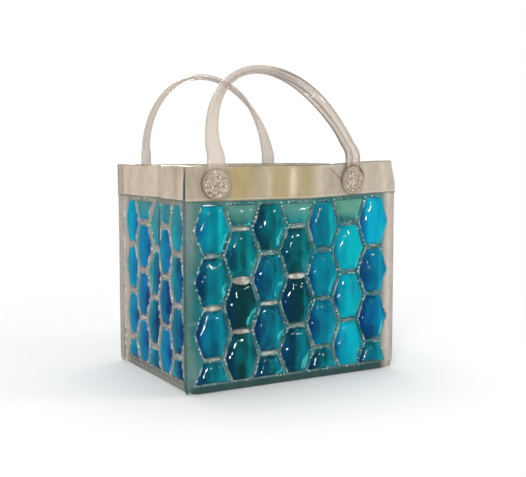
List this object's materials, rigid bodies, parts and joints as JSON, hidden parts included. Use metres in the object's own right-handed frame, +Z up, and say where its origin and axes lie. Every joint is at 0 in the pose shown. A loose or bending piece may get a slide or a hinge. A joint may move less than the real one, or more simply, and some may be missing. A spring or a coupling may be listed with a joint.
{
  "type": "cooler bag",
  "caption": "Clear film bottle carrier with gel cells in its walls and two swinging strap handles.",
  "frame": {"origin": "middle of the underside of the base, where the bag stands", "axes": "+Z up towards the handles, -Y towards the wide front panel, +X along the front panel to its right"},
  "size_m": [0.207, 0.175, 0.2683],
  "materials": {
    "clear_film": "clear soft film, glossy, slightly rippled",
    "milky_film": "several layers of clear film, milky",
    "teal_gel": "clear coloured gel",
    "blue_gel": "clear coloured gel",
    "clear_strap": "clear soft moulded plastic"
  },
  "bodies": {
    "bag": {"front_outer_film": "clear_film", "front_inner_film": "clear_film", "front_hem": "milky_film", "front_gel_column_1": "teal_gel", "front_gel_column_2": "teal_gel", "front_gel_column_3": "teal_gel", "front_gel_column_4": "teal_gel", "front_gel_column_5": "teal_gel", "front_gel_column_6": "teal_gel", "front_gel_column_7": "teal_gel", "front_left_handle_disc": "clear_strap", "front_right_handle_disc": "clear_strap", "back_outer_film": "clear_film", "back_inner_film": "clear_film", "back_hem": "milky_film", "back_gel_column_1": "teal_gel", "back_gel_column_2": "teal_gel", "back_gel_column_3": "teal_gel", "back_gel_column_4": "teal_gel", "back_gel_column_5": "teal_gel", "back_gel_column_6": "teal_gel", "back_gel_column_7": "teal_gel", "back_left_handle_disc": "clear_strap", "back_right_handle_disc": "clear_strap", "left_outer_film": "clear_film", "left_inner_film": "clear_film", "left_hem": "milky_film", "left_gel_column_1": "blue_gel", "left_gel_column_2": "blue_gel", "left_gel_column_3": "blue_gel", "left_gel_column_4": "blue_gel", "left_gel_column_5": "blue_gel", "right_outer_film": "clear_film", "right_inner_film": "clear_film", "right_hem": "milky_film", "right_gel_column_1": "blue_gel", "right_gel_column_2": "blue_gel", "right_gel_column_3": "blue_gel", "right_gel_column_4": "blue_gel", "right_gel_column_5": "blue_gel", "base_panel": "clear_film"},
    "front_handle": {"front_handle_strap": "clear_strap"},
    "back_handle": {"back_handle_strap": "clear_strap"}
  },
  "joints": [
    {"name": "front_handle_swing", "type": "hinge", "parent": "bag", "child": "front_handle", "pos_m": [-0.0105, -0.07565, 0.186], "axis": [1, 0, 0], "range_deg": [-15, 125]},
    {"name": "back_handle_swing", "type": "hinge", "parent": "bag", "child": "back_handle", "pos_m": [-0.0075, 0.07565, 0.186], "axis": [-1, 0, 0], "range_deg": [-55, 85]}
  ]
}
